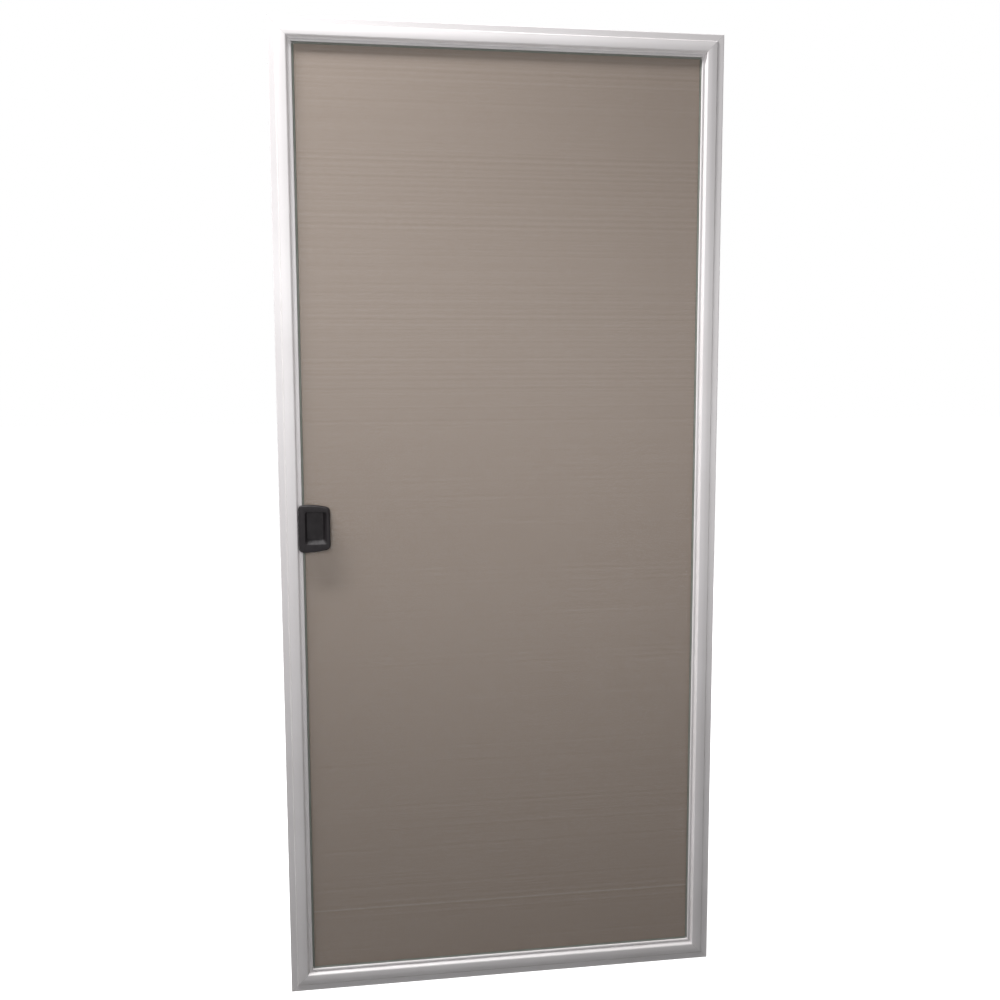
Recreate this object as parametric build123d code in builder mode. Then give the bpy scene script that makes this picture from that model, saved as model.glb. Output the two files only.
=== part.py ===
"""Sliding patio screen door: one leaf, millimetres, +Z up.

X runs across the leaf (the pull is on the -X stile), Y runs through its thickness with the
outside face towards -Y, and the origin is the middle of the bottom rail's underside.
"""
import os

from build123d import *

os.makedirs("parts", exist_ok=True)

# Leaf
LEAF_WIDTH = 914.4
LEAF_HEIGHT = 2006.6
LEAF_DEPTH = 22.2

# Moulded hollow section, as distances in from the outer edge and back from the raised face
WALL = 1.2
BAND_WIDTH = 13.2
BAND_BACK = 2.0
FACE_START = 14.6
FACE_START_BACK = 0.8
FACE_CENTRE = 25.0
FACE_END = 33.2
FACE_END_BACK = 0.5
EDGE_END = 35.8
EDGE_BACK = 2.8
QUIRK_CENTRE = 37.0
QUIRK_BACK = 5.4
BEAD_START = 39.6
BEAD_WIDTH = 5.2
BEAD_BACK = 7.0
BEAD_CROWN = 1.1
GROOVE_WIDTH = 5.0
GROOVE_DEPTH = 6.2
LIP_WIDTH = 2.6
LIP_DROP = 3.2
OUTER_EDGE_RADIUS = 1.6
BACK_EDGE_RADIUS = 1.0

# Screen and the cord that holds it
SCREEN_THICKNESS = 0.5
SPLINE_DIAMETER = 3.9
FIT = 0.2

# Corner keys and rollers
KEY_ARM = 84.0
KEY_ARM_WIDTH = 30.0
WHEEL_DIAMETER = 25.4
WHEEL_THICKNESS = 6.0
WHEEL_CENTRE = 42.0
WHEEL_RISE = 0.4
AXLE_DIAMETER = 4.8
RUNNING_CLEARANCE = 0.8
ADJUSTER_HEAD = 7.6
ADJUSTER_SHANK = 4.0
ADJUSTER_HEIGHT = 15.0
ADJUSTER_REACH = 24.0
WINDOW_HEIGHT = 22.0
WINDOW_WIDTH = 9.0

# Pulls
PULL_HEIGHT_ABOVE_FLOOR = 1001.0
PULL_OVERLAP = 7.0
PULL_WIDTH = 62.8
PULL_TALL = 96.0
PULL_TAPER = 6.0
PULL_CROWN = 3.0
PULL_CORNER = 9.0
PULL_PROUD = 4.0
PULL_EDGE_BEVEL = 2.0
PULL_WALL = 1.4
RIM_SIDE = 13.0
RIM_FAR = 6.0
RIM_TOP = 12.5
RIM_LOW = 16.0
CUP_FLOOR = 2.2
CUP_SLOPE_FAR = 8.0
CUP_SLOPE_LOW = 9.0
CUP_SLOPE_TOP = 1.8
CUP_CORNER = 5.0
SCREW_SPACING = 80.0
SCREW_SHANK = 4.0
SCREW_HEAD = 7.6
SCREW_HEAD_HEIGHT = 2.2
SCREW_BITE = 7.0

# Edge bumper
BUMPER_LENGTH = 22.0
BUMPER_WIDTH = 12.0
BUMPER_THICKNESS = 2.0
BUMPER_HEIGHT = 16.0

# Latch
HOOK_THICKNESS = 2.0
HOOK_WIDTH = 12.0
HOOK_SETBACK = 2.0
LEVER_WIDTH = 9.0
LEVER_LENGTH = 16.0
LEVER_PROUD = 4.0
LEVER_TRAVEL = 14.0

# Derived places
LEFT = -LEAF_WIDTH / 2
FRONT = -LEAF_DEPTH / 2
BACK = LEAF_DEPTH / 2
BEAD_END = BEAD_START + BEAD_WIDTH
GROOVE_END = BEAD_END + GROOVE_WIDTH
SECTION_WIDTH = GROOVE_END + LIP_WIDTH
LIP_BACK = BEAD_BACK + LIP_DROP
GROOVE_FLOOR = BEAD_BACK + GROOVE_DEPTH
SCREEN_TUCK = GROOVE_FLOOR - LIP_BACK
SCREEN_FRONT = FRONT + LIP_BACK - FIT - SCREEN_THICKNESS
SCREEN_BACK = FRONT + LIP_BACK - FIT
CAVITY_FRONT = FRONT + BEAD_BACK + WALL + FIT
CAVITY_BACK = BACK - WALL - FIT
CAVITY_MIDDLE = (CAVITY_FRONT + CAVITY_BACK) / 2
CAVITY_DEPTH = CAVITY_BACK - CAVITY_FRONT
PULL_NEAR = LEFT + BEAD_END - PULL_OVERLAP
PULL_FAR = PULL_NEAR + PULL_WIDTH
PULL_STEP = LEFT + SECTION_WIDTH + FIT
CUP_NEAR = PULL_STEP + PULL_WALL - (PULL_NEAR + RIM_SIDE)
PULL_Z = PULL_HEIGHT_ABOVE_FLOOR
PULL_MIDDLE = (PULL_NEAR + PULL_FAR) / 2
SCREW_X = PULL_MIDDLE + PULL_OVERLAP
HOOK_Y = CAVITY_BACK - HOOK_THICKNESS * 1.5
LEVER_X = PULL_NEAR + RIM_SIDE / 2
LATCH_SLOT_WIDTH = HOOK_THICKNESS + 2 * FIT
LATCH_SLOT_LENGTH = HOOK_WIDTH + LEVER_TRAVEL
BUMPER_Y = CAVITY_MIDDLE


def moulded_section() -> Sketch:
    """One member's section: X in from the outer edge, Y back from the raised face."""
    with BuildSketch() as section:
        with BuildLine():
            band = Line((0, BAND_BACK), (BAND_WIDTH, BAND_BACK))
            riser = Line(band @ 1, (FACE_START, FACE_START_BACK))
            face = ThreePointArc(riser @ 1, (FACE_CENTRE, 0), (FACE_END, FACE_END_BACK))
            edge = TangentArc(face @ 1, (EDGE_END, EDGE_BACK), tangent=face % 1)
            quirk = ThreePointArc(edge @ 1, (QUIRK_CENTRE, QUIRK_BACK), (BEAD_START, BEAD_BACK))
            bead = ThreePointArc(
                quirk @ 1,
                (BEAD_START + BEAD_WIDTH / 2, BEAD_BACK - BEAD_CROWN),
                (BEAD_END, BEAD_BACK),
            )
            Polyline(
                bead @ 1,
                (BEAD_END, GROOVE_FLOOR),
                (GROOVE_END, GROOVE_FLOOR),
                (GROOVE_END, LIP_BACK),
                (SECTION_WIDTH, LIP_BACK),
                (SECTION_WIDTH, LEAF_DEPTH),
                (0, LEAF_DEPTH),
                (0, BAND_BACK),
            )
        make_face()
        corners = section.vertices()
        outer_edge = corners.filter_by(lambda v: v.X < 0.01 and v.Y < BAND_BACK + 0.01)
        back_edges = corners.filter_by(lambda v: v.Y > LEAF_DEPTH - 0.01)
        fillet(outer_edge, OUTER_EDGE_RADIUS)
        fillet(back_edges, BACK_EDGE_RADIUS)
        offset(amount=-WALL, mode=Mode.SUBTRACT)
    return section.sketch


SECTION = moulded_section()


def mitred_member(plane: Plane, length: float) -> Part:
    """A length of the section along the plane's normal, cut at 45 degrees at both ends."""
    near_cut = Plane(origin=plane.origin, z_dir=plane.z_dir - plane.x_dir)
    far_cut = Plane(origin=plane.origin + plane.z_dir * length, z_dir=-plane.z_dir - plane.x_dir)
    with BuildPart() as bar:
        with BuildSketch(plane):
            add(SECTION)
        extrude(amount=length)
        split(bisect_by=near_cut, keep=Keep.TOP)
        split(bisect_by=far_cut, keep=Keep.TOP)
    return bar.part


RIGHT = -LEFT
TOP = LEAF_HEIGHT
BOTTOM_PLANE = Plane(origin=(RIGHT, FRONT, 0), x_dir=(0, 0, 1), z_dir=(-1, 0, 0))
TOP_PLANE = Plane(origin=(LEFT, FRONT, TOP), x_dir=(0, 0, -1), z_dir=(1, 0, 0))
LEFT_PLANE = Plane(origin=(LEFT, FRONT, 0), x_dir=(1, 0, 0), z_dir=(0, 0, 1))
RIGHT_PLANE = Plane(origin=(RIGHT, FRONT, TOP), x_dir=(-1, 0, 0), z_dir=(0, 0, -1))
WHEEL_SLOT_LENGTH = WHEEL_DIAMETER + 2 * RUNNING_CLEARANCE
WHEEL_SLOT_WIDTH = WHEEL_THICKNESS + 2 * RUNNING_CLEARANCE


def make_rail(name: str, plane: Plane, z_edge: float) -> None:
    """A top or bottom rail, with a slot through its outer wall over each wheel."""
    with BuildPart() as rail:
        add(mitred_member(plane, LEAF_WIDTH))
        with Locations(
            (LEFT + WHEEL_CENTRE, CAVITY_MIDDLE, z_edge),
            (RIGHT - WHEEL_CENTRE, CAVITY_MIDDLE, z_edge),
        ):
            Box(WHEEL_SLOT_LENGTH, WHEEL_SLOT_WIDTH, WALL * 3, mode=Mode.SUBTRACT)
    rail.part.label = name
    export_step(rail.part, f"parts/{name}.step")


def make_stile(name: str, plane: Plane, x_edge: float, latched: bool) -> None:
    """A stile, with an adjuster window at each end and, on the pull side, the latch slots."""
    with BuildPart() as stile:
        add(mitred_member(plane, LEAF_HEIGHT))
        with Locations(
            (x_edge, CAVITY_MIDDLE, ADJUSTER_HEIGHT),
            (x_edge, CAVITY_MIDDLE, TOP - ADJUSTER_HEIGHT),
        ):
            Box(WALL * 3, WINDOW_WIDTH, WINDOW_HEIGHT, mode=Mode.SUBTRACT)
        if latched:
            with Locations((x_edge, HOOK_Y, PULL_Z)):
                Box(WALL * 3, LATCH_SLOT_WIDTH, LATCH_SLOT_LENGTH, mode=Mode.SUBTRACT)
            with Locations((LEVER_X, BACK, PULL_Z)):
                Box(LATCH_SLOT_WIDTH, WALL * 3, LATCH_SLOT_LENGTH, mode=Mode.SUBTRACT)
    stile.part.label = name
    export_step(stile.part, f"parts/{name}.step")


make_rail("bottom_rail", BOTTOM_PLANE, 0)
make_rail("top_rail", TOP_PLANE, TOP)
make_stile("pull_stile", LEFT_PLANE, LEFT, True)
make_stile("far_stile", RIGHT_PLANE, RIGHT, False)


# Insect screen: stretched over the lips, its edge tucked down into the grooves
TUCK_OUT_WIDTH = LEAF_WIDTH - 2 * (GROOVE_END - FIT - SCREEN_THICKNESS)
TUCK_OUT_HEIGHT = LEAF_HEIGHT - 2 * (GROOVE_END - FIT - SCREEN_THICKNESS)
SCREW_PLACES = [(SCREW_X, PULL_Z + side * SCREW_SPACING / 2) for side in (-1, 1)]

with BuildPart() as screen:
    with BuildSketch(Plane.XZ.offset(-SCREEN_FRONT)):
        with Locations((0, LEAF_HEIGHT / 2)):
            Rectangle(TUCK_OUT_WIDTH, TUCK_OUT_HEIGHT)
    extrude(amount=-SCREEN_THICKNESS)
    with BuildSketch(Plane.XZ.offset(-SCREEN_BACK)):
        with Locations((0, LEAF_HEIGHT / 2)):
            Rectangle(TUCK_OUT_WIDTH, TUCK_OUT_HEIGHT)
            Rectangle(
                TUCK_OUT_WIDTH - 2 * SCREEN_THICKNESS,
                TUCK_OUT_HEIGHT - 2 * SCREEN_THICKNESS,
                mode=Mode.SUBTRACT,
            )
    extrude(amount=-SCREEN_TUCK)
    with BuildSketch(Plane.XZ.offset(-SCREEN_FRONT)):
        with Locations(SCREW_PLACES):
            Circle(SCREW_SHANK / 2 + FIT)
    extrude(amount=-SCREEN_THICKNESS, mode=Mode.SUBTRACT)
screen.part.label = "insect_screen"
export_step(screen.part, "parts/insect_screen.step")


# Spline: a round cord pressed into each groove beside the tucked screen
SPLINE_FROM_EDGE = BEAD_END + FIT / 2 + SPLINE_DIAMETER / 2
SPLINE_Y = FRONT + GROOVE_FLOOR - FIT - SPLINE_DIAMETER / 2
SPLINE_X = LEFT + SPLINE_FROM_EDGE
SPLINE_LOW = SPLINE_FROM_EDGE
SPLINE_HIGH = TOP - SPLINE_FROM_EDGE


def make_spline(name: str, start: tuple, end: tuple) -> None:
    """A straight length of spline between two points."""
    with BuildPart() as cord:
        with BuildLine():
            path = Line(start, end)
        with BuildSketch(Plane(origin=path @ 0, z_dir=path % 0)):
            Circle(SPLINE_DIAMETER / 2)
        extrude(amount=path.length)
    cord.part.label = name
    export_step(cord.part, f"parts/{name}.step")


SPLINE_BUTT = SPLINE_DIAMETER / 2 + FIT
make_spline("bottom_spline", (SPLINE_X, SPLINE_Y, SPLINE_LOW), (-SPLINE_X, SPLINE_Y, SPLINE_LOW))
make_spline("top_spline", (SPLINE_X, SPLINE_Y, SPLINE_HIGH), (-SPLINE_X, SPLINE_Y, SPLINE_HIGH))
for side_name, side_x in (("pull_side_spline", SPLINE_X), ("far_side_spline", -SPLINE_X)):
    make_spline(
        side_name,
        (side_x, SPLINE_Y, SPLINE_LOW + SPLINE_BUTT),
        (side_x, SPLINE_Y, SPLINE_HIGH - SPLINE_BUTT),
    )


# Corner keys, each with a fork for its wheel, the wheel, its axle and the adjuster screw
KEY_IN = WALL + FIT
CHANNEL_WIDTH = ADJUSTER_HEAD + 2 * FIT
WHEEL_HEIGHT = WHEEL_DIAMETER / 2 + WHEEL_RISE
CORNERS = {
    "lower_pull_side": (1, 1),
    "lower_far_side": (-1, 1),
    "upper_pull_side": (1, -1),
    "upper_far_side": (-1, -1),
}


def place_corner(x_in: float, z_in: float, across: int, up: int) -> tuple:
    """World X and Z of a point given as distances in from a corner's two outer edges."""
    return (across * (LEFT + x_in), z_in if up > 0 else TOP - z_in)


def make_corner(name: str, across: int, up: int) -> None:
    """The pieces of one corner; across and up say which way the arms point."""
    middle_y = CAVITY_MIDDLE
    wheel_x, wheel_z = place_corner(WHEEL_CENTRE, WHEEL_HEIGHT, across, up)
    screw_z = place_corner(0, ADJUSTER_HEIGHT, across, up)[1]
    corner = place_corner(KEY_IN, KEY_IN, across, up)
    key_plane = Plane.XZ.offset(-CAVITY_FRONT)
    arm = KEY_ARM - KEY_IN
    with BuildPart() as key:
        with BuildSketch(key_plane):
            with Locations((corner[0] + across * arm / 2, corner[1] + up * KEY_ARM_WIDTH / 2)):
                Rectangle(arm, KEY_ARM_WIDTH)
            with Locations((corner[0] + across * KEY_ARM_WIDTH / 2, corner[1] + up * arm / 2)):
                Rectangle(KEY_ARM_WIDTH, arm)
        extrude(amount=-CAVITY_DEPTH)
        with Locations((wheel_x, middle_y, corner[1])):
            Box(
                WHEEL_SLOT_LENGTH,
                WHEEL_SLOT_WIDTH,
                2 * (WHEEL_DIAMETER + RUNNING_CLEARANCE),
                mode=Mode.SUBTRACT,
            )
        with Locations(Plane(origin=(wheel_x, middle_y, wheel_z), z_dir=(0, 1, 0))):
            Cylinder(AXLE_DIAMETER / 2 + FIT / 2, CAVITY_DEPTH, mode=Mode.SUBTRACT)
        with Locations(Plane(origin=(corner[0], middle_y, screw_z), z_dir=(1, 0, 0))):
            Box(CHANNEL_WIDTH, CHANNEL_WIDTH, 2 * ADJUSTER_REACH, mode=Mode.SUBTRACT)
    key.part.label = f"{name}_corner_key"
    export_step(key.part, f"parts/{name}_corner_key.step")

    with BuildPart() as wheel:
        with BuildSketch(Plane.XZ.offset(-(middle_y - WHEEL_THICKNESS / 2))):
            with Locations((wheel_x, wheel_z)):
                Circle(WHEEL_DIAMETER / 2)
                Circle(AXLE_DIAMETER / 2 + FIT / 2, mode=Mode.SUBTRACT)
        extrude(amount=-WHEEL_THICKNESS)
    wheel.part.label = f"{name}_wheel"
    export_step(wheel.part, f"parts/{name}_wheel.step")

    with BuildPart() as axle:
        with BuildSketch(key_plane):
            with Locations((wheel_x, wheel_z)):
                Circle(AXLE_DIAMETER / 2)
        extrude(amount=-CAVITY_DEPTH)
    axle.part.label = f"{name}_axle"
    export_step(axle.part, f"parts/{name}_axle.step")

    head_plane = Plane(origin=(corner[0], middle_y, screw_z), z_dir=(across, 0, 0))
    with BuildPart() as screw:
        with BuildSketch(head_plane):
            Circle(ADJUSTER_HEAD / 2)
        extrude(amount=SCREW_HEAD_HEIGHT)
        with BuildSketch(head_plane.offset(SCREW_HEAD_HEIGHT)):
            Circle(ADJUSTER_SHANK / 2)
        extrude(amount=ADJUSTER_REACH - SCREW_HEAD_HEIGHT - 1)
    screw.part.label = f"{name}_adjuster_screw"
    export_step(screw.part, f"parts/{name}_adjuster_screw.step")


for corner_name, (corner_across, corner_up) in CORNERS.items():
    make_corner(corner_name, corner_across, corner_up)


# Edge bumper: a soft pad on the far stile's outer edge, at its foot
with BuildPart() as bumper:
    with BuildSketch(Plane.YZ.offset(RIGHT)):
        with Locations((BUMPER_Y, BUMPER_HEIGHT)):
            RectangleRounded(BUMPER_WIDTH, BUMPER_LENGTH, BUMPER_WIDTH / 4)
    extrude(amount=BUMPER_THICKNESS)
    chamfer(bumper.faces().sort_by(Axis.X)[-1].edges(), BUMPER_THICKNESS / 2)
bumper.part.label = "edge_bumper"
export_step(bumper.part, "parts/edge_bumper.step")


# Pulls: moulded cups clamped through the screen, one outside and one inside
def pull_outline() -> Sketch:
    """The pull's outline in X and Z: taller at the stile, with crowned ends."""
    near_half = PULL_TALL / 2
    far_half = near_half - PULL_TAPER
    middle_half = (near_half + far_half) / 2 + PULL_CROWN
    with BuildSketch() as outline:
        with BuildLine():
            top = ThreePointArc(
                (PULL_NEAR, PULL_Z + near_half),
                (PULL_MIDDLE, PULL_Z + middle_half),
                (PULL_FAR, PULL_Z + far_half),
            )
            far_side = Line(top @ 1, (PULL_FAR, PULL_Z - far_half))
            low = ThreePointArc(
                far_side @ 1,
                (PULL_MIDDLE, PULL_Z - middle_half),
                (PULL_NEAR, PULL_Z - near_half),
            )
            Line(low @ 1, top @ 0)
        make_face()
    return outline.sketch


def cup_mouth(near: float, far: float, low: float, high: float) -> Sketch:
    """A rounded rectangle inside the rim, drawn in by the given amounts on its four sides."""
    near_x = PULL_NEAR + RIM_SIDE + near
    far_x = PULL_FAR - RIM_FAR - far
    low_z = PULL_Z - PULL_TALL / 2 + RIM_LOW + low
    high_z = PULL_Z + PULL_TALL / 2 - RIM_TOP - high
    with BuildSketch() as mouth:
        with Locations(((near_x + far_x) / 2, (low_z + high_z) / 2)):
            RectangleRounded(far_x - near_x, high_z - low_z, CUP_CORNER)
    return mouth.sketch


def make_pull(name: str, outer_y: float, seat_y: float, base_y: float) -> None:
    """A moulded pull from its outer face to its base on the screen, stepped to seat on the stile."""
    inward = 1 if base_y > outer_y else -1
    depth = abs(base_y - outer_y)
    floor_y = base_y - inward * CUP_FLOOR
    outer_plane = Plane.XZ.offset(-outer_y)
    base_plane = Plane.XZ.offset(-base_y)
    with BuildPart() as cup:
        with BuildSketch(outer_plane):
            add(cup_mouth(0 if inward > 0 else CUP_NEAR, 0, 0, 0))
        with BuildSketch(Plane.XZ.offset(-floor_y)):
            add(cup_mouth(CUP_NEAR, CUP_SLOPE_FAR, CUP_SLOPE_LOW, CUP_SLOPE_TOP))
        loft(ruled=True)
    with BuildPart() as pull:
        with BuildSketch(outer_plane):
            add(pull_outline())
        extrude(amount=-inward * depth)
        fillet(pull.edges().filter_by(Axis.Y), PULL_CORNER)
        outer_face = pull.faces().sort_by(Axis.Y)[0 if inward > 0 else -1]
        chamfer(outer_face.edges(), PULL_EDGE_BEVEL)
        with BuildSketch(base_plane):
            with Locations(((PULL_NEAR + PULL_STEP) / 2 - PULL_OVERLAP, PULL_Z)):
                Rectangle(PULL_STEP - PULL_NEAR + 2 * PULL_OVERLAP, 2 * PULL_TALL)
        extrude(amount=inward * abs(base_y - seat_y), mode=Mode.SUBTRACT)
        add(cup.part, mode=Mode.SUBTRACT)
        with BuildSketch(base_plane):
            with Locations(SCREW_PLACES):
                Circle(SCREW_SHANK / 2 + FIT)
        extrude(amount=inward * (SCREW_BITE if inward > 0 else depth), mode=Mode.SUBTRACT)
        if inward < 0:
            with Locations((LEVER_X, outer_y, PULL_Z)):
                Box(LATCH_SLOT_WIDTH, 2 * depth, LATCH_SLOT_LENGTH, mode=Mode.SUBTRACT)
    pull.part.label = name
    export_step(pull.part, f"parts/{name}.step")


OUTSIDE_SEAT = FRONT + BEAD_BACK - BEAD_CROWN - FIT
make_pull("outside_pull", FRONT - PULL_PROUD, OUTSIDE_SEAT, SCREEN_FRONT - FIT / 2)
make_pull("inside_pull", BACK + PULL_PROUD, BACK + FIT, SCREEN_BACK + FIT / 2)


# Screws: pan heads on the inside pull, shanks through the screen into the outside pull
with BuildPart() as screws:
    with BuildSketch(Plane.XZ.offset(-(BACK + PULL_PROUD))):
        with Locations(SCREW_PLACES):
            Circle(SCREW_HEAD / 2)
    extrude(amount=-SCREW_HEAD_HEIGHT)
    chamfer(screws.faces().sort_by(Axis.Y)[-2:].edges(), SCREW_HEAD_HEIGHT / 2)
    with BuildSketch(Plane.XZ.offset(-(BACK + PULL_PROUD))):
        with Locations(SCREW_PLACES):
            Circle(SCREW_SHANK / 2)
    extrude(amount=BACK + PULL_PROUD - SCREEN_FRONT + SCREW_BITE - FIT)
screws.part.label = "pull_screws"
export_step(screws.part, "parts/pull_screws.step")


# Latch: a flat hook drawn back inside the stile, worked by a thumb lever on the inside pull
HOOK_TIP_X = LEFT + HOOK_SETBACK
HOOK_TAIL_X = LEVER_X + HOOK_THICKNESS / 2
with BuildPart() as hook:
    with BuildSketch(Plane.XZ.offset(-(HOOK_Y - HOOK_THICKNESS / 2))):
        with BuildLine():
            Polyline(
                (HOOK_TIP_X, PULL_Z + HOOK_WIDTH / 2),
                (HOOK_TAIL_X, PULL_Z + HOOK_WIDTH / 2),
                (HOOK_TAIL_X, PULL_Z - HOOK_WIDTH / 2),
                (HOOK_TIP_X + HOOK_WIDTH, PULL_Z - HOOK_WIDTH / 2),
                (HOOK_TIP_X + HOOK_WIDTH, PULL_Z),
                (HOOK_TIP_X + HOOK_WIDTH / 2, PULL_Z),
                (HOOK_TIP_X + HOOK_WIDTH / 2, PULL_Z - HOOK_WIDTH / 4),
                (HOOK_TIP_X, PULL_Z - HOOK_WIDTH / 4),
                close=True,
            )
        make_face()
    extrude(amount=-HOOK_THICKNESS)
    fillet(hook.edges().filter_by(Axis.Y).sort_by(Axis.X)[:2], HOOK_WIDTH / 6)
hook.part.label = "latch_hook"
export_step(hook.part, "parts/latch_hook.step")

LEVER_BASE_Y = HOOK_Y + HOOK_THICKNESS / 2
LEVER_OUT_Y = BACK + PULL_PROUD
with BuildPart() as lever:
    with BuildSketch(Plane.XZ.offset(-LEVER_BASE_Y)):
        with Locations((LEVER_X, PULL_Z)):
            Rectangle(HOOK_THICKNESS, HOOK_WIDTH)
    extrude(amount=-(LEVER_OUT_Y + FIT - LEVER_BASE_Y))
    with BuildSketch(Plane.XZ.offset(-(LEVER_OUT_Y + FIT))):
        with Locations((LEVER_X, PULL_Z)):
            RectangleRounded(LEVER_WIDTH, LEVER_LENGTH, LEVER_WIDTH / 4)
    extrude(amount=-LEVER_PROUD)
    chamfer(lever.faces().sort_by(Axis.Y)[-1].edges(), LEVER_PROUD / 4)
lever.part.label = "latch_lever"
export_step(lever.part, "parts/latch_lever.step")
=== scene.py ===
"""Looks of a sliding patio screen door leaf: paint, woven screen, spline, moulded pulls and screws.

Everything is in metres, in the leaf's own frame: X across it, Y through it with the outside
face towards -Y, and Z up from the bottom rail's underside.
"""

import logging
import math
from collections.abc import Callable
from dataclasses import dataclass, field
from enum import Enum, IntEnum

import bmesh
import bpy
from mathutils import Matrix, Vector


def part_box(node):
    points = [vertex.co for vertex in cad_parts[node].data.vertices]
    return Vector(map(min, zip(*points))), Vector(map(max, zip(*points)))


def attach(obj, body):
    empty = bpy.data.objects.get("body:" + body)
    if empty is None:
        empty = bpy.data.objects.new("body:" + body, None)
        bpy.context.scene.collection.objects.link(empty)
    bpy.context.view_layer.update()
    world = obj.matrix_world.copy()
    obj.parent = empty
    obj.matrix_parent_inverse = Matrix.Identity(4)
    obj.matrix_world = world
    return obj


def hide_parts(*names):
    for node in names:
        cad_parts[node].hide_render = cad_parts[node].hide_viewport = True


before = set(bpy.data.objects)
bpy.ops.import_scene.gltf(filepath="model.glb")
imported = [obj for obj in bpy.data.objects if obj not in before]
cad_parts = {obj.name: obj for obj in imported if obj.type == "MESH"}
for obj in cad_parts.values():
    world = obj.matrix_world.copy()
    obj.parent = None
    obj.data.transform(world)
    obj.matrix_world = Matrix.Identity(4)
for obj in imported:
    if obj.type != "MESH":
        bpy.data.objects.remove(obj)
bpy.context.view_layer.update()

MM = 0.001
INCH = 25.4 * MM
log = logging.getLogger("screen_door")

# Points closer than this are merged in a copied node, and faces flatter than this are one face.
MERGE_WITHIN = 0.002 * MM
FLAT_WITHIN = math.radians(0.5)
# An edge that turns more than this is rounded on a moulding.
ROUND_OVER = math.radians(25)
# A face whose normal has more than this share along an axis faces that way.
FACES_ALONG = 0.9

Colour = tuple[float, float, float]
Socket = bpy.types.NodeSocket
Value = float | tuple | Socket


class Side(Enum):
    """The two stiles, by what they carry."""

    PULL = "pull_side"
    FAR = "far_side"


class Way(IntEnum):
    """The way that a yarn, a length of spline or a screw runs, as the index of its axis."""

    ACROSS = 0
    THROUGH = 1
    UP = 2

    def aside(self) -> "Way":
        """The other way in the plane of the leaf."""
        return Way.UP if self is Way.ACROSS else Way.ACROSS


# Mesh tools


def deselect() -> None:
    """Leave edit mode and deselect every object."""
    if bpy.context.object and bpy.context.object.mode != "OBJECT":
        bpy.ops.object.mode_set(mode="OBJECT")
    bpy.ops.object.select_all(action="DESELECT")


def pick(piece: bpy.types.Object) -> None:
    """Select one object alone and make it the active one.

    Args:
        piece: the object to work on.
    """
    deselect()
    piece.select_set(True)
    bpy.context.view_layer.objects.active = piece


def add_block(name: str, low: Vector, high: Vector) -> bpy.types.Object:
    """Add a box primitive between two corners, with its place in its mesh.

    Args:
        name: the piece's name.
        low: its lowest corner.
        high: its highest corner.

    Returns:
        The new object, selected and active.
    """
    deselect()
    bpy.ops.mesh.primitive_cube_add(size=1, location=(low + high) / 2)
    piece = bpy.context.object
    piece.name = name
    piece.data.name = name
    piece.scale = high - low
    bpy.ops.object.transform_apply(location=True, rotation=True, scale=True)
    return piece


def add_rod(name: str, start: Vector, end: Vector, radius: float, sides: int) -> bpy.types.Object:
    """Add a closed cylinder primitive from one point to another.

    Args:
        name: the piece's name.
        start: the middle of its first end.
        end: the middle of its second end.
        radius: its radius.
        sides: how many sides it has.

    Returns:
        The new object, selected and active.
    """
    deselect()
    along = end - start
    turn = Vector((0, 0, 1)).rotation_difference(along.normalized()).to_euler()
    bpy.ops.mesh.primitive_cylinder_add(
        vertices=sides, radius=radius, depth=along.length, location=(start + end) / 2, rotation=turn
    )
    piece = bpy.context.object
    piece.name = name
    piece.data.name = name
    bpy.ops.object.transform_apply(location=True, rotation=True, scale=True)
    return piece


def select_faces(piece: bpy.types.Object, wanted: Callable[[Vector, Vector], bool]) -> None:
    """In edit mode, select just the faces that a test picks.

    Args:
        piece: the object in edit mode.
        wanted: a function of a face's centre and normal that says whether it is picked.
    """
    bpy.ops.mesh.select_mode(type="FACE")
    bpy.ops.mesh.select_all(action="DESELECT")
    shape = bmesh.from_edit_mesh(piece.data)
    for face in shape.faces:
        face.select = wanted(face.calc_center_median(), face.normal)
    bmesh.update_edit_mesh(piece.data)


def apply_all(piece: bpy.types.Object) -> None:
    """Apply every modifier on a piece, in order.

    Args:
        piece: the object whose modifiers are applied.
    """
    pick(piece)
    for modifier in list(piece.modifiers):
        bpy.ops.object.modifier_apply(modifier=modifier.name)


def repeat(piece: bpy.types.Object, step: Vector, count: int) -> None:
    """Copy a piece's mesh along a line into the same mesh.

    Args:
        piece: the object to repeat.
        step: from one copy to the next.
        count: how many there are in all.
    """
    row = piece.modifiers.new("row", "ARRAY")
    row.count = count
    row.use_relative_offset = False
    row.use_constant_offset = True
    row.constant_offset_displace = step
    row.use_merge_vertices = False
    apply_all(piece)


def cut_away(piece: bpy.types.Object, cutter: bpy.types.Object) -> None:
    """Cut one closed shape out of another, and remove the cutter.

    Args:
        piece: the object that is cut.
        cutter: the shape that is taken away.
    """
    cut = piece.modifiers.new("cut", "BOOLEAN")
    cut.operation = "DIFFERENCE"
    cut.solver = "EXACT"
    cut.object = cutter
    apply_all(piece)
    bpy.data.objects.remove(cutter, do_unlink=True)


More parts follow.
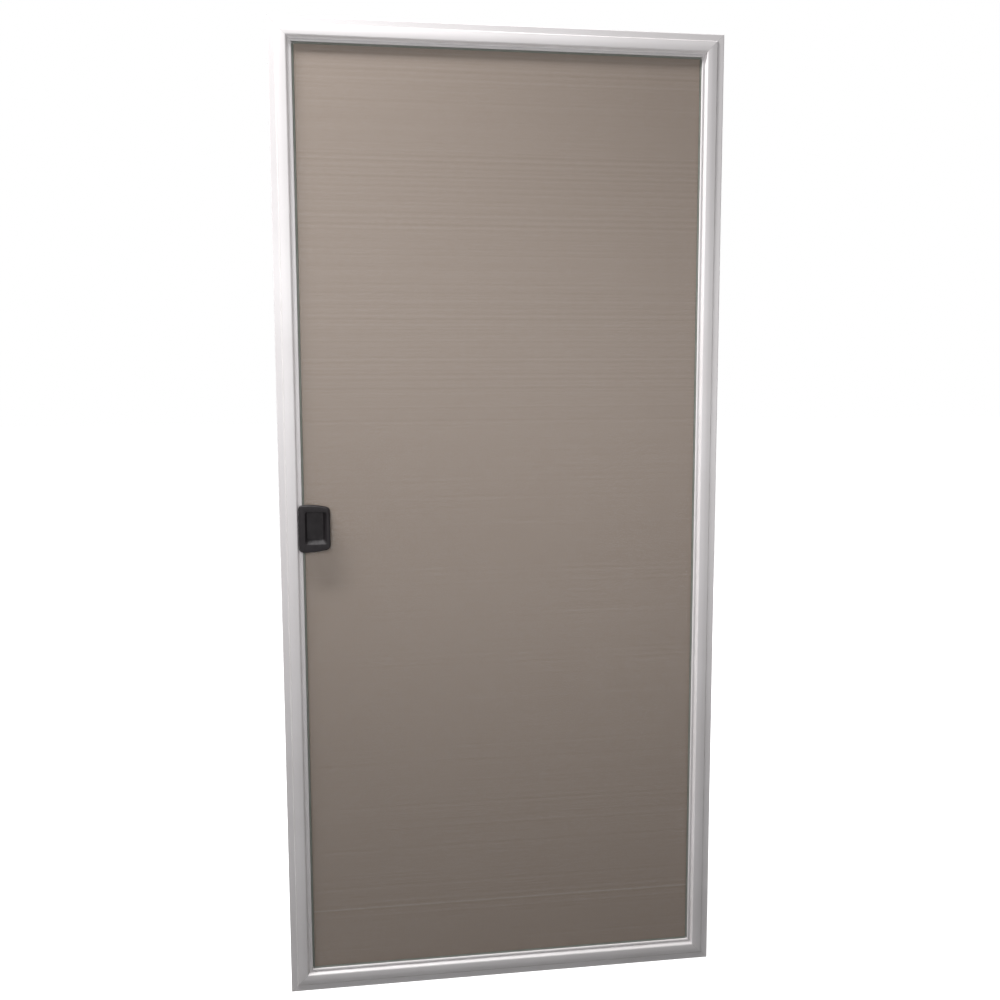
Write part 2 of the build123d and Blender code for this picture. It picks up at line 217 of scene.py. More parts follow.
def copy_node(name: str, node: str) -> bpy.types.Object:
    """Copy a CAD node's mesh into a new piece, with its seams merged and its flat faces whole.

    Args:
        name: the new piece's name.
        node: the CAD node's name.

    Returns:
        The copy, selected and active.
    """
    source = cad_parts[node]
    piece = bpy.data.objects.new(name, source.data.copy())
    bpy.context.scene.collection.objects.link(piece)
    piece.matrix_world = source.matrix_world.copy()
    piece.data.name = name
    pick(piece)
    bpy.ops.object.transform_apply(location=True, rotation=True, scale=True)
    bpy.ops.object.mode_set(mode="EDIT")
    bpy.ops.mesh.select_all(action="SELECT")
    bpy.ops.mesh.remove_doubles(threshold=MERGE_WITHIN)
    bpy.ops.mesh.dissolve_limited(angle_limit=FLAT_WITHIN)
    bpy.ops.object.mode_set(mode="OBJECT")
    return piece


def round_edges(piece: bpy.types.Object, radius: float, steps: int = 3) -> None:
    """Round the sharp edges of a piece.

    Args:
        piece: the object to round.
        radius: the width of the rounding.
        steps: how many faces cross it.
    """
    rounding = piece.modifiers.new("rounding", "BEVEL")
    rounding.width = radius
    rounding.segments = steps
    rounding.limit_method = "ANGLE"
    rounding.angle_limit = ROUND_OVER
    rounding.harden_normals = False
    apply_all(piece)


@dataclass(frozen=True)
class CrossRecess:
    """The cross-shaped recess that a screwdriver fits, cut into a screw's head."""

    long: float = 4.2 * MM
    wide: float = 0.9 * MM
    deep: float = 1.3 * MM

    def cut(self, screw: bpy.types.Object, top: Vector, way: Way) -> None:
        """Cut the recess into a head.

        Args:
            screw: the screw, which may be one of several in its mesh.
            top: the middle of the head's face.
            way: the way that the screw runs.
        """
        for arm in Way:
            if arm is way:
                continue
            half = Vector((self.wide, self.wide, self.wide)) / 2
            half[arm] = self.long / 2
            half[way] = self.deep
            cut_away(screw, add_block("recess", top - half, top + half))


def smooth(piece: bpy.types.Object, degrees: float = 35) -> None:
    """Shade a piece smooth, with sharp edges over an angle."""
    pick(piece)
    bpy.ops.object.shade_smooth_by_angle(angle=math.radians(degrees))


# Node tools


@dataclass
class Nodes:
    """A node tree that is being written, with short ways to add nodes and links."""

    tree: bpy.types.NodeTree

    def add(self, kind: str, **settings: object) -> bpy.types.Node:
        """Add a node of a type and set its properties.

        Args:
            kind: the node's type.
            settings: the properties to set, by name.

        Returns:
            The new node.
        """
        node = self.tree.nodes.new(kind)
        for name, value in settings.items():
            setattr(node, name, value)
        return node

    def feed(self, node: bpy.types.Node, name: str | int, value: Value) -> None:
        """Link a socket to a node's input, or set the input to a plain value.

        Args:
            node: the node to feed.
            name: the input's name or number.
            value: the socket or plain value.
        """
        socket = node.inputs[name]
        if isinstance(value, Socket):
            self.tree.links.new(value, socket)
        else:
            socket.default_value = value

    def maths(self, operation: str, first: Value, second: Value = 0.0) -> Socket:
        """One step of arithmetic on values or sockets.

        Args:
            operation: the Math node's operation.
            first: the first value or socket.
            second: the second value or socket.

        Returns:
            The result's socket.
        """
        node = self.add("ShaderNodeMath", operation=operation)
        self.feed(node, 0, first)
        self.feed(node, 1, second)
        return node.outputs[0]

    def between(
        self, value: Value, low: Value, high: Value, to_low: float = 0.0, to_high: float = 1.0
    ) -> Socket:
        """Map a value smoothly from one range to another, held at both ends.

        Args:
            value: the value or socket.
            low: the start of its range.
            high: the end of its range.
            to_low: what the start becomes.
            to_high: what the end becomes.

        Returns:
            The result's socket.
        """
        node = self.add("ShaderNodeMapRange", interpolation_type="SMOOTHSTEP", clamp=True)
        for name, number in (
            ("Value", value),
            ("From Min", low),
            ("From Max", high),
            ("To Min", to_low),
            ("To Max", to_high),
        ):
            self.feed(node, name, number)
        return node.outputs["Result"]

    def mix(self, share: Value, first: Value, second: Value) -> Socket:
        """Mix two colours by a share.

        Args:
            share: how much of the second there is.
            first: the first colour, with alpha.
            second: the second colour, with alpha.

        Returns:
            The mixed colour's socket.
        """
        node = self.add("ShaderNodeMix", data_type="RGBA")
        self.feed(node, 0, share)
        self.feed(node, 6, first)
        self.feed(node, 7, second)
        return node.outputs[2]

    def noise(self, place: Socket, scale: Value, detail: float) -> Socket:
        """Noise from 0 to 1 at a place.

        Args:
            place: the place.
            scale: how many cycles a metre has.
            detail: how many finer layers it has.

        Returns:
            The noise's socket.
        """
        node = self.add("ShaderNodeTexNoise")
        self.feed(node, "Vector", place)
        self.feed(node, "Scale", scale)
        self.feed(node, "Detail", detail)
        return node.outputs["Fac"]

    def stretch(self, place: Socket, factors: tuple[float, float, float]) -> Socket:
        """Scale a place differently along each axis.

        Args:
            place: the place.
            factors: what each axis is multiplied by.

        Returns:
            The scaled place's socket.
        """
        node = self.add("ShaderNodeVectorMath", operation="MULTIPLY")
        self.feed(node, 0, place)
        self.feed(node, 1, factors)
        return node.outputs[0]

    def bump(self, height: Socket, strength: float, distance: float) -> Socket:
        """A normal from a height.

        Args:
            height: the height, from 0 to 1.
            strength: how much of it shows.
            distance: how high 1 is, in metres.

        Returns:
            The normal's socket.
        """
        node = self.add("ShaderNodeBump")
        self.feed(node, "Height", height)
        self.feed(node, "Strength", strength)
        self.feed(node, "Distance", distance)
        return node.outputs["Normal"]


def opaque(colour: Colour) -> tuple[float, float, float, float]:
    """A colour with full alpha."""
    return (*colour, 1.0)


def new_group(
    name: str, inputs: dict[str, float], output: str
) -> tuple[Nodes, bpy.types.Node, bpy.types.Node]:
    """Start a shader node group that takes a place and named numbers and gives one number.

    Args:
        name: the group's name.
        inputs: each number's name and its usual value.
        output: the name of the number that it gives.

    Returns:
        The Nodes, the group's input node and its output node.
    """
    tree = bpy.data.node_groups.new(name, "ShaderNodeTree")
    tree.interface.new_socket("Place", in_out="INPUT", socket_type="NodeSocketVector")
    for label, value in inputs.items():
        socket = tree.interface.new_socket(label, in_out="INPUT", socket_type="NodeSocketFloat")
        socket.default_value = value
    tree.interface.new_socket(output, in_out="OUTPUT", socket_type="NodeSocketFloat")
    nodes = Nodes(tree)
    return nodes, nodes.add("NodeGroupInput"), nodes.add("NodeGroupOutput")


@dataclass(frozen=True)
class LeafSize:
    """The leaf's outer sizes, read from its CAD nodes."""

    half_width: float
    height: float

    @classmethod
    def from_frame(cls) -> "LeafSize":
        """Read the sizes from the pull stile's box."""
        low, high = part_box("pull_stile")
        return cls(-low.x, high.z)


LEAF = LeafSize.from_frame()


@dataclass
class SharedEffects:
    """Node groups that several finishes use, each made once."""

    cloud_detail: float = 4.0
    grain_detail: float = 2.0
    made: dict[str, bpy.types.NodeTree] = field(default_factory=dict)

    def from_edges(self, nodes: Nodes, place: Socket) -> tuple[Socket, Socket]:
        """Write how far a place is from the leaf's nearest edge across, and from its nearest end.

        Args:
            nodes: the group that is being written.
            place: the place.

        Returns:
            The two distances, in metres.
        """
        split = nodes.add("ShaderNodeSeparateXYZ")
        nodes.feed(split, 0, place)
        across = nodes.maths("SUBTRACT", LEAF.half_width, nodes.maths("ABSOLUTE", split.outputs["X"]))
        down = nodes.maths("SUBTRACT", LEAF.height, split.outputs["Z"])
        return across, nodes.maths("MINIMUM", down, split.outputs["Z"])

    def edge_distance(self) -> bpy.types.NodeTree:
        """How far in from the leaf's outer edge a place is, in metres.

        Returns:
            The node group, made on first use.
        """
        if "edge_distance" not in self.made:
            nodes, start, end = new_group("edge_distance", {}, "Distance")
            across, along = self.from_edges(nodes, start.outputs["Place"])
            nodes.feed(end, "Distance", nodes.maths("MINIMUM", across, along))
            self.made["edge_distance"] = nodes.tree
        return self.made["edge_distance"]

    def mitre_distance(self) -> bpy.types.NodeTree:
        """How far a place is from the 45 degree line of the nearest corner, in metres.

        Returns:
            The node group, made on first use.
        """
        if "mitre_distance" not in self.made:
            nodes, start, end = new_group("mitre_distance", {}, "Distance")
            across, along = self.from_edges(nodes, start.outputs["Place"])
            nodes.feed(end, "Distance", nodes.maths("ABSOLUTE", nodes.maths("SUBTRACT", across, along)))
            self.made["mitre_distance"] = nodes.tree
        return self.made["mitre_distance"]

    def cloud(self) -> bpy.types.NodeTree:
        """Broad uneven tone, such as handling and weathering leave.

        Returns:
            The node group, made on first use.
        """
        if "cloud" not in self.made:
            inputs = {"Scale": 6.0, "Low": 0.3, "High": 0.7}
            nodes, start, end = new_group("cloud", inputs, "Mask")
            noise = nodes.noise(start.outputs["Place"], start.outputs["Scale"], self.cloud_detail)
            mask = nodes.between(noise, start.outputs["Low"], start.outputs["High"])
            nodes.feed(end, "Mask", mask)
            self.made["cloud"] = nodes.tree
        return self.made["cloud"]

    def grain(self) -> bpy.types.NodeTree:
        """Fine moulded or sprayed grain, as a height.

        Returns:
            The node group, made on first use.
        """
        if "grain" not in self.made:
            nodes, start, end = new_group("grain", {"Scale": 900.0}, "Height")
            height = nodes.noise(start.outputs["Place"], start.outputs["Scale"], self.grain_detail)
            nodes.feed(end, "Height", height)
            self.made["grain"] = nodes.tree
        return self.made["grain"]


EFFECTS = SharedEffects()


@dataclass
class Surface:
    """A material that is being written: its nodes, its shader and its place."""

    material: bpy.types.Material
    nodes: Nodes
    shader: bpy.types.Node
    place: Socket

    @classmethod
    def start(cls, name: str) -> "Surface":
        """Start a material with a Principled shader and Object coordinates.

        Args:
            name: the material's name.

        Returns:
            The material that is being written.
        """
        material = bpy.data.materials.new(name)
        material.use_nodes = True
        nodes = Nodes(material.node_tree)
        material.node_tree.nodes.clear()
        output = nodes.add("ShaderNodeOutputMaterial")
        shader = nodes.add("ShaderNodeBsdfPrincipled")
        material.node_tree.links.new(shader.outputs["BSDF"], output.inputs["Surface"])
        place = nodes.add("ShaderNodeTexCoord").outputs["Object"]
        return cls(material, nodes, shader, place)

    def group(self, tree: bpy.types.NodeTree, **values: float) -> bpy.types.Node:
        """Place a shared effect at this material's coordinates.

        Args:
            tree: the effect's node group.
            values: its named numbers.

        Returns:
            The group's node.
        """
        node = self.nodes.add("ShaderNodeGroup", node_tree=tree)
        self.nodes.feed(node, "Place", self.place)
        for name, value in values.items():
            self.nodes.feed(node, name, value)
        return node

    def cloud(self, **values: float) -> Socket:
        """The mask of the shared uneven tone."""
        return self.group(EFFECTS.cloud(), **values).outputs["Mask"]

    def grain(self, scale: float, strength: float, depth: float) -> Socket:
        """A normal from the shared fine grain, with a scale in cycles per metre."""
        height = self.group(EFFECTS.grain(), Scale=scale).outputs["Height"]
        return self.nodes.bump(height, strength, depth)

    def blend(self, tone: Socket, first: Colour, second: Colour) -> Socket:
        """Mix two colours by a mask."""
        return self.nodes.mix(tone, opaque(first), opaque(second))

    def set(self, **values: Value) -> None:
        """Set or link the shader's inputs, with underscores for spaces."""
        for name, value in values.items():
            self.nodes.feed(self.shader, name.replace("_", " "), value)


# Finishes


@dataclass(frozen=True)
class PaintFinish:
    """White baked paint, a little dust and painted shade in its hollows, and an open line at each mitre.
    """

    paint: Colour = (0.792, 0.763, 0.770)
    aged: Colour = (0.747, 0.716, 0.720)
    glossy: float = 0.34
    dulled: float = 0.46
    # Dust with painted shade: it darkens the hollows of the riser and the quirk, in patches.
    dust_and_shade: Colour = (0.45, 0.42, 0.39)
    least_dust_and_shade: float = 0.10
    most_dust_and_shade: float = 0.30
    dust_and_shade_scale: float = 28.0
    dust_and_shade_detail: float = 5
    dust_and_shade_range: tuple[float, float] = (0.35, 0.75)
    hollows_at: tuple[float, ...] = (14.4 * MM, 37.6 * MM)
    hollow_half: float = 2.4 * MM
    hollow_core: float = 0.2
    gap: Colour = (0.16, 0.155, 0.15)
    gap_half: float = 0.16 * MM
    gap_core: float = 0.5
    gap_share: float = 0.8

    def make(self) -> bpy.types.Material:
        """Write the material.

        Returns:
            The finished material.
        """
        surface = Surface.start("white_baked_paint")
        nodes = surface.nodes
        tone = surface.cloud(Scale=5.0, Low=0.35, High=0.75)
        colour = surface.blend(tone, self.paint, self.aged)
        inward = surface.group(EFFECTS.edge_distance()).outputs["Distance"]
        dust_and_shade_noise = nodes.noise(surface.place, self.dust_and_shade_scale, self.dust_and_shade_detail)
        patchy = nodes.between(dust_and_shade_noise, *self.dust_and_shade_range, self.least_dust_and_shade, self.most_dust_and_shade)
        # Painted shade and dust: each hollow is darkened towards the dust colour, in patches.
        for hollow in self.hollows_at:
            off_hollow = nodes.maths("ABSOLUTE", nodes.maths("SUBTRACT", inward, hollow))
            core = self.hollow_core * self.hollow_half
            in_hollow = nodes.between(off_hollow, core, self.hollow_half, 1.0, 0.0)
            colour = nodes.mix(nodes.maths("MULTIPLY", in_hollow, patchy), colour, opaque(self.dust_and_shade))
        off_mitre = surface.group(EFFECTS.mitre_distance()).outputs["Distance"]
        open_line = nodes.between(off_mitre, self.gap_core * self.gap_half, self.gap_half, 1.0, 0.0)
        colour = nodes.mix(nodes.maths("MULTIPLY", open_line, self.gap_share), colour, opaque(self.gap))
        surface.set(
            Base_Color=colour,
            Roughness=nodes.between(tone, 0.0, 1.0, self.glossy, self.dulled),
            Normal=surface.grain(700.0, 0.10, 0.2 * MM),
        )
        return surface.material


@dataclass(frozen=True)
class YarnFinish:
    """Vinyl-coated glass yarn, grey-brown, with rows that differ a little and one scuffed weft row."""

    name: str
    slot: str = "screen_mesh"
    yarn: Colour = (0.278, 0.224, 0.186)
    pale: Colour = (0.328, 0.270, 0.230)
    scuffed: Colour = (0.430, 0.385, 0.340)
    way: Way = Way.ACROSS
    rows_per_metre: float = 170.0
    changes_per_metre: float = 0.15
    rows_range: tuple[float, float] = (0.30, 0.72)
    unevenness: float = 0.8
    scuffed_at: float = 172.0 * MM
    scuffed_half: float = 1.3 * MM
    scuffed_core: float = 0.5
    scuffed_share: float = 0.5

    def make(self) -> bpy.types.Material:
        """Write the material.

        Returns:
            The finished material.
        """
        surface = Surface.start(self.name)
        nodes = surface.nodes
        factors = [0.0, 0.0, 0.0]
        factors[self.way] = self.changes_per_metre
        factors[self.way.aside()] = self.rows_per_metre
        rows = nodes.noise(nodes.stretch(surface.place, tuple(factors)), 1.0, 3)
        tone = nodes.between(rows, *self.rows_range, 0.0, self.unevenness)
        colour = surface.blend(tone, self.yarn, self.pale)
        if self.way is Way.ACROSS:
            split = nodes.add("ShaderNodeSeparateXYZ")
            nodes.feed(split, 0, surface.place)
            above = nodes.maths("SUBTRACT", split.outputs["Z"], self.scuffed_at)
            core = self.scuffed_core * self.scuffed_half
            on_scuff = nodes.between(
                nodes.maths("ABSOLUTE", above), core, self.scuffed_half, self.scuffed_share, 0.0
            )
            colour = nodes.mix(on_scuff, colour, opaque(self.scuffed))
        surface.set(
            Base_Color=colour,
            Roughness=0.6,
            Normal=nodes.bump(nodes.noise(surface.place, 2500.0, 1), 0.15, 0.05 * MM),
        )
        return surface.material


@dataclass(frozen=True)
class VinylFinish:
    """Soft grey-green vinyl of the spline."""

    slot: str = "spline_vinyl"
    vinyl: Colour = (0.190, 0.208, 0.178)
    bloom: Colour = (0.240, 0.252, 0.225)

    def make(self) -> bpy.types.Material:
        """Write the material.

        Returns:
            The finished material.
        """
        surface = Surface.start("soft_vinyl")
        surface.set(
            Base_Color=surface.blend(surface.cloud(Scale=40.0), self.vinyl, self.bloom),
            Roughness=0.62,
            Normal=surface.grain(1800.0, 0.2, 0.1 * MM),
        )
        return surface.material


@dataclass(frozen=True)
class MouldedFinish:
    """Black moulded plastic with a fine spark-eroded grain."""

    name: str
    plastic: Colour = (0.0085, 0.0068, 0.0078)
    rubbed: Colour = (0.0135, 0.0112, 0.0124)
    dull: float = 0.60
    glossy: float = 0.50
    shine: float = 0.20

    def make(self) -> bpy.types.Material:
        """Write the material.

        Returns:
            The finished material.
        """
        surface = Surface.start(self.name)
        tone = surface.cloud(Scale=60.0)
        surface.set(
            Base_Color=surface.blend(tone, self.plastic, self.rubbed),
            Roughness=surface.nodes.between(tone, 0.0, 1.0, self.dull, self.glossy),
            Specular_IOR_Level=self.shine,
            Normal=surface.grain(1400.0, 0.25, 0.1 * MM),
        )
        return surface.material


@dataclass(frozen=True)
class NylonFinish:
    """Off-white nylon of the wheels."""

    nylon: Colour = (0.70, 0.68, 0.62)
    soiled: Colour = (0.38, 0.35, 0.31)

    def make(self) -> bpy.types.Material:
        """Write the material.

        Returns:
            The finished material.
        """
        surface = Surface.start("wheel_nylon_finish")
        tone = surface.cloud(Scale=90.0, Low=0.45, High=0.8)
        surface.set(
            Base_Color=surface.blend(tone, self.nylon, self.soiled),
            Roughness=0.42,
            Subsurface_Weight=0.1,
            Subsurface_Scale=1.5 * MM,
            Normal=surface.grain(1200.0, 0.1, 0.1 * MM),
        )
        return surface.material


@dataclass(frozen=True)
class ZincFinish:
    """Bright zinc plate on screws, axles and the hook."""

    slot: str = "zinc_steel"
    zinc: Colour = (0.60, 0.61, 0.62)
    tarnished: Colour = (0.42, 0.42, 0.41)
    bright: float = 0.26
    dull: float = 0.45

    def make(self) -> bpy.types.Material:
        """Write the material.

        Returns:
            The finished material.
        """
        surface = Surface.start("zinc_plate")
        tone = surface.cloud(Scale=300.0)
        surface.set(
            Base_Color=surface.blend(tone, self.zinc, self.tarnished),
            Metallic=1.0,
            Roughness=surface.nodes.between(tone, 0.0, 1.0, self.bright, self.dull),
            Normal=surface.grain(3000.0, 0.08, 0.05 * MM),
        )
        return surface.material


@dataclass(frozen=True)
class RubberFinish:
    """Matte black rubber of the edge bumper."""

    rubber: Colour = (0.020, 0.020, 0.020)
    dusty: Colour = (0.050, 0.048, 0.045)

    def make(self) -> bpy.types.Material:
        """Write the material.

        Returns:
            The finished material.
        """
        surface = Surface.start("matte_rubber")
        surface.set(
            Base_Color=surface.blend(surface.cloud(Scale=150.0), self.rubber, self.dusty),
            Roughness=0.75,
            Normal=surface.grain(2200.0, 0.2, 0.1 * MM),
        )
        return surface.material


# Pieces


def dress_node(node: str, material: bpy.types.Material) -> None:
    """Give a CAD node its finish in every one of its slots.

    Args:
        node: the CAD node's name.
        material: the finish.
    """
    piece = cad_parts[node]
    for place in piece.material_slots:
        place.material = material
    log.info("dressed %s with %s", node, material.name)


def settle(piece: bpy.types.Object, material: bpy.types.Material, slot: str, *nodes: str) -> None:
    """Finish a new piece: its material, its body and the nodes that it replaces.

    Args:
        piece: the finished piece.
        material: its finish.
        slot: the record's slot that the finish belongs to; not used.
        nodes: the CAD nodes that it stands for.
    """
    piece.data.materials.clear()
    piece.data.materials.append(material)
    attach(piece, "root")
    if nodes:
        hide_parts(*nodes)
    log.info("piece %s: %d faces", piece.name, len(piece.data.polygons))


@dataclass
class MouldedFrame:
    """The four mitred members, which keep their CAD shape."""

    members: tuple[str, ...] = ("bottom_rail", "top_rail", "pull_stile", "far_stile")
    finish: PaintFinish = PaintFinish()

    def dress(self) -> None:
        """Paint the members."""
        paint = self.finish.make()
        for node in self.members:
            dress_node(node, paint)


@dataclass
class WovenScreen:
    """The insect screen: weft yarns across and warp yarns up, each tucked over the lips."""

    weft_pitch: float = INCH / 16
    warp_pitch: float = INCH / 18
    weft_width: float = 1.36 * MM
    warp_width: float = 1.20 * MM
    yarn_depth: float = 0.23 * MM
    between_layers: float = 0.02 * MM
    margin: float = 0.6 * MM
    weft_finish: YarnFinish = YarnFinish("weft_yarn")
    warp_finish: YarnFinish = YarnFinish("warp_yarn", way=Way.UP)

    def yarns(
        self, name: str, along: Way, pitch: float, width: float, from_front: float
    ) -> bpy.types.Object:
        """Model one yarn with its tucked ends, and repeat it over the screen.

        Args:
            name: the piece's name.
            along: the way that the yarns run.
            pitch: from one yarn to the next.
            width: a yarn's width.
            from_front: how far its front lies behind the screen's front.

        Returns:
            One mesh of all the yarns that run that way.
        """
        low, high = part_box("insect_screen")
        aside = along.aside()
        count = int((high[aside] - low[aside] - 2 * self.margin) / pitch)
        first = (low[aside] + high[aside] - (count - 1) * pitch) / 2
        near, far = low.copy(), high.copy()
        near[aside], far[aside] = first - width / 2, first + width / 2
        near.y = low.y + from_front
        far.y = near.y + self.yarn_depth
        yarn = add_block(name, near, far)
        bpy.ops.object.mode_set(mode="EDIT")
        normal = [0.0, 0.0, 0.0]
        normal[along] = 1.0
        first_tuck, last_tuck = near[along] + self.yarn_depth, far[along] - self.yarn_depth
        for place in (first_tuck, last_tuck):
            point = [0.0, near.y, 0.0]
            point[along] = place
            bpy.ops.mesh.select_all(action="SELECT")
            bpy.ops.mesh.bisect(plane_co=point, plane_no=normal)
        select_faces(
            yarn,
            lambda centre, facing: facing.y > FACES_ALONG and not first_tuck < centre[along] < last_tuck,
        )
        bpy.ops.mesh.extrude_region_move(
            TRANSFORM_OT_translate={"value": (0, high.y - far.y, 0), "orient_type": "GLOBAL"}
        )
        bpy.ops.object.mode_set(mode="OBJECT")
        step = Vector((0, 0, 0))
        step[aside] = pitch
        repeat(yarn, step, count)
        return yarn

    def build(self) -> None:
        """Weave the screen and stretch it in the frame."""
        behind_weft = self.yarn_depth + self.between_layers
        warp = self.yarns("screen_warp", Way.UP, self.warp_pitch, self.warp_width, behind_weft)
        weft = self.yarns("screen_weft", Way.ACROSS, self.weft_pitch, self.weft_width, 0.0)
        settle(warp, self.warp_finish.make(), self.warp_finish.slot, "insect_screen")
        settle(weft, self.weft_finish.make(), self.weft_finish.slot, "insect_screen")


@dataclass
class RibbedSpline:
    """The four lengths of spline, each a round cord with ribs along it."""

    ribs: int = 12
    rib_share: float = 0.11
    finish: VinylFinish = VinylFinish()

    def length(self, node: str, along: Way) -> bpy.types.Object:
        """Model one length over its CAD node.

        Args:
            node: the CAD node that it stands for.
            along: the way that it runs.

        Returns:
            The ribbed cord.
        """
        low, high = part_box(node)
        middle = (low + high) / 2
        start, end = middle.copy(), middle.copy()
        start[along], end[along] = low[along], high[along]
        radius = (high.y - low.y) / 2
        cord = add_rod(f"{node}_cord", start, end, radius, 2 * self.ribs)
        bpy.ops.object.mode_set(mode="EDIT")
        shape = bmesh.from_edit_mesh(cord.data)
        bpy.ops.mesh.select_mode(type="VERT")
        bpy.ops.mesh.select_all(action="DESELECT")
        aside = along.aside()
        for vertex in shape.verts:
            turn = math.atan2(vertex.co[aside] - middle[aside], vertex.co.y - middle.y)
            vertex.select = round(turn / (math.pi / self.ribs)) % 2 == 1
        bmesh.update_edit_mesh(cord.data)
        shrink = [1 - self.rib_share] * 3
        shrink[along] = 1.0
        bpy.ops.transform.resize(value=shrink, center_override=middle, orient_type="GLOBAL")
        bpy.ops.object.mode_set(mode="OBJECT")
        return cord

    def build(self) -> None:
        """Make the four lengths."""
        vinyl = self.finish.make()
        for node, along in (
            ("bottom_spline", Way.ACROSS),
            ("top_spline", Way.ACROSS),
            ("pull_side_spline", Way.UP),
            ("far_side_spline", Way.UP),
        ):
            settle(self.length(node, along), vinyl, self.finish.slot, node)


@dataclass
class PullSet:
    """The two moulded pulls, the lever, the hook and the screws that clamp them."""

    soft_edge: float = 0.5 * MM
    smooth_under: float = 40
    recess: CrossRecess = CrossRecess()
    plastic_slot: str = "pull_plastic"
    plastic: MouldedFinish = MouldedFinish("black_moulded_plastic")
    zinc: ZincFinish = ZincFinish()

    def build(self) -> None:
        """Make the mouldings with rounded edges and the screws with recesses, and dress the hook."""
        moulded = self.plastic.make()
        for node in ("outside_pull", "inside_pull", "latch_lever"):
            soft = copy_node(f"{node}_moulding", node)
            round_edges(soft, self.soft_edge)
            smooth(soft, self.smooth_under)
            settle(soft, moulded, self.plastic_slot, node)
        plate = self.zinc.make()
        dress_node("latch_hook", plate)
        low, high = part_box("pull_screws")
        head = (high.x - low.x) / 2
        screws = copy_node("recessed_pull_screws", "pull_screws")
        for level in (low.z + head, high.z - head):
            self.recess.cut(screws, Vector((low.x + head, high.y, level)), Way.THROUGH)
        smooth(screws)
        settle(screws, plate, self.zinc.slot, "pull_screws")


@dataclass
class CornerHardware:
    """Corner keys, wheels, axles and adjuster screws at the four corners, and the bumper."""

    key: MouldedFinish = MouldedFinish("black_nylon", dull=0.55, glossy=0.45, shine=0.35)
    nylon: NylonFinish = NylonFinish()
    zinc: ZincFinish = ZincFinish()
    rubber: RubberFinish = RubberFinish()
    recess: CrossRecess = CrossRecess()

    def build(self) -> None:
        """Dress what keeps its CAD shape, and make the adjuster screws with recesses."""
        black, white, plate = self.key.make(), self.nylon.make(), self.zinc.make()
        for level in ("lower", "upper"):
            for side in Side:
                corner = f"{level}_{side.value}"
                dress_node(f"{corner}_corner_key", black)
                dress_node(f"{corner}_wheel", white)
                dress_node(f"{corner}_axle", plate)
                node = f"{corner}_adjuster_screw"
                low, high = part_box(node)
                top = (low + high) / 2
                top.x = low.x if side is Side.PULL else high.x
                screw = copy_node(f"recessed_{node}", node)
                self.recess.cut(screw, top, Way.ACROSS)
                smooth(screw)
                settle(screw, plate, self.zinc.slot, node)
        dress_node("edge_bumper", self.rubber.make())


# Studio


@dataclass(frozen=True)
class SoftLamp:
    """A soft rectangular lamp."""

    name: str
    place: tuple[float, float, float]
    size: tuple[float, float]
    watts: float

    def add(self, aim: Vector) -> None:
        """Add the lamp, hidden from the camera.

        Args:
            aim: the point that it faces.
        """
        data = bpy.data.lights.new(self.name, "AREA")
        data.shape = "RECTANGLE"
        data.size, data.size_y = self.size
        data.energy = self.watts
        lamp = bpy.data.objects.new(self.name, data)
        bpy.context.scene.collection.objects.link(lamp)
        lamp.location = self.place
        lamp.rotation_euler = (aim - lamp.location).to_track_quat("-Z", "Y").to_euler()
        lamp.visible_camera = False


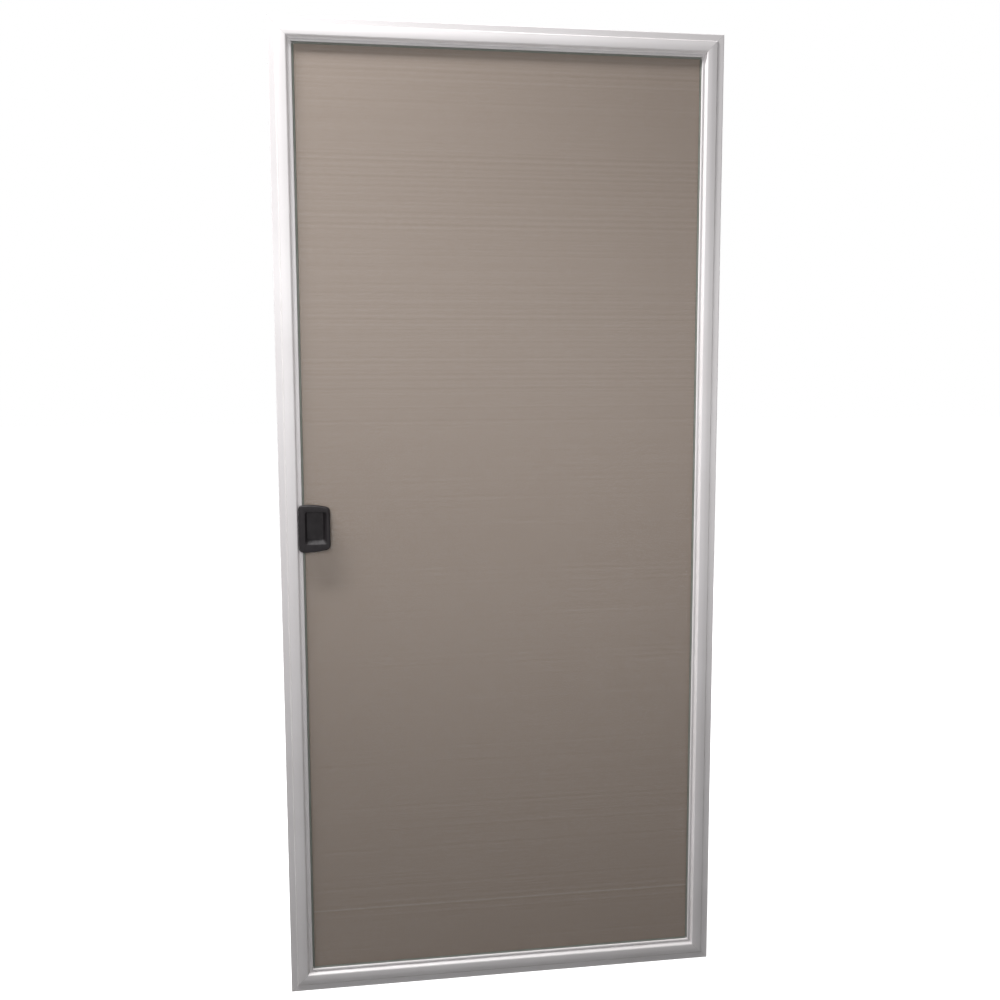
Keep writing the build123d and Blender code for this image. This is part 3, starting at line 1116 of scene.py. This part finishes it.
@dataclass
class Studio:
    """The camera, the lamps, the floor and the white surround."""

    lens_ratio: float = 1.0131
    shift_x: float = -0.0368
    shift_y: float = -0.0527
    eye: tuple[float, float, float] = (-0.2176, -2.0895, 1.3828)
    pitch_down: float = 6.006
    yaw_right: float = 7.851
    roll: float = -0.364
    sensor: float = 36.0
    nearest: float = 0.05
    furthest: float = 60.0
    strips: tuple[SoftLamp, ...] = (
        SoftLamp("far_strip", (-1.4, -0.38, 3.4), (1.7, 0.15), 108.0),
        SoftLamp("near_strip", (-0.65, -0.20, 2.8), (1.2, 0.15), 11.0),
    )
    lamps: tuple[SoftLamp, ...] = (
        SoftLamp("left_lamp", (-0.60, -1.15, 1.5), (0.6, 0.6), 6.2),
        SoftLamp("right_lamp", (0.45, -1.15, 1.25), (0.6, 0.6), 4.8),
        SoftLamp("back_lamp", (1.4, 3.2, 2.6), (2.0, 2.0), 90.0),
    )
    aim_share: float = 0.55
    fill: float = 0.05
    floor_side: float = 30
    floor_seen: Colour = (0.85, 0.85, 0.85)
    floor_lit: Colour = (0.06, 0.06, 0.06)
    floor_glow: float = 0.82
    fade: tuple[float, float] = (0.8, 2.6)

    def camera(self) -> None:
        """Place the camera where the photograph was taken from."""
        turn = Vector([math.radians(angle) for angle in (self.pitch_down, -self.yaw_right, self.roll)])
        level = Matrix(((1, 0, 0), (0, 0, -1), (0, 1, 0)))
        right, down, ahead = Matrix.Rotation(turn.length, 3, turn.normalized()) @ level
        data = bpy.data.cameras.new("camera")
        data.sensor_width = self.sensor
        data.lens = self.lens_ratio * self.sensor
        data.shift_x, data.shift_y = self.shift_x, self.shift_y
        data.clip_start, data.clip_end = self.nearest, self.furthest
        eye = bpy.data.objects.new("camera", data)
        bpy.context.scene.collection.objects.link(eye)
        facing = Matrix((right, -down, -ahead)).transposed().to_4x4()
        facing.translation = self.eye
        eye.matrix_world = facing
        bpy.context.scene.camera = eye

    def surround(self) -> None:
        """A world that is white to the camera and in reflections, and a soft grey fill to light by."""
        world = bpy.data.worlds.new("surround")
        bpy.context.scene.world = world
        world.use_nodes = True
        nodes = Nodes(world.node_tree)
        world.node_tree.nodes.clear()
        path = nodes.add("ShaderNodeLightPath")
        seen = nodes.maths("MAXIMUM", path.outputs["Is Camera Ray"], path.outputs["Is Transmission Ray"])
        seen = nodes.maths("MAXIMUM", seen, path.outputs["Is Glossy Ray"])
        strength = nodes.maths("ADD", nodes.maths("MULTIPLY", seen, 1.0 - self.fill), self.fill)
        sky = nodes.add("ShaderNodeBackground")
        nodes.feed(sky, "Color", (1, 1, 1, 1))
        nodes.feed(sky, "Strength", strength)
        output = nodes.add("ShaderNodeOutputWorld")
        world.node_tree.links.new(sky.outputs[0], output.inputs["Surface"])

    def floor(self) -> None:
        """A plain pale floor that keeps the leaf's shadow and fades into the white surround."""
        deselect()
        bpy.ops.mesh.primitive_plane_add(size=self.floor_side, location=(0, 0, 0))
        floor = bpy.context.object
        floor.name = "floor"
        material = bpy.data.materials.new("pale_floor")
        material.use_nodes = True
        nodes = Nodes(material.node_tree)
        material.node_tree.nodes.clear()
        path = nodes.add("ShaderNodeLightPath")
        seen = nodes.maths("MAXIMUM", path.outputs["Is Camera Ray"], path.outputs["Is Glossy Ray"])
        matte = nodes.add("ShaderNodeBsdfDiffuse")
        nodes.feed(matte, "Color", nodes.mix(seen, opaque(self.floor_lit), opaque(self.floor_seen)))
        away = nodes.add("ShaderNodeVectorMath", operation="LENGTH")
        nodes.feed(away, 0, nodes.add("ShaderNodeTexCoord").outputs["Object"])
        faded = nodes.between(away.outputs["Value"], *self.fade, self.floor_glow, 1.0)
        light = nodes.add("ShaderNodeEmission")
        nodes.feed(light, "Strength", nodes.maths("MULTIPLY", seen, faded))
        both = nodes.add("ShaderNodeAddShader")
        material.node_tree.links.new(matte.outputs[0], both.inputs[0])
        material.node_tree.links.new(light.outputs[0], both.inputs[1])
        output = nodes.add("ShaderNodeOutputMaterial")
        material.node_tree.links.new(both.outputs[0], output.inputs["Surface"])
        floor.data.materials.append(material)

    def build(self) -> None:
        """Set up the whole studio."""
        self.camera()
        for strip in self.strips:
            strip.add(Vector(strip.place) - Vector((0, 0, 1)))
        for lamp in self.lamps:
            lamp.add(Vector((0, 0, self.aim_share * LEAF.height)))
        self.surround()
        self.floor()
        bpy.context.scene.view_settings.view_transform = "Standard"


def main() -> None:
    """Build the studio and dress the leaf, in order."""
    logging.basicConfig(level=logging.INFO, format="%(name)s: %(message)s")
    Studio().build()
    MouldedFrame().dress()
    WovenScreen().build()
    RibbedSpline().build()
    PullSet().build()
    CornerHardware().build()


if __name__ == "__main__":
    main()
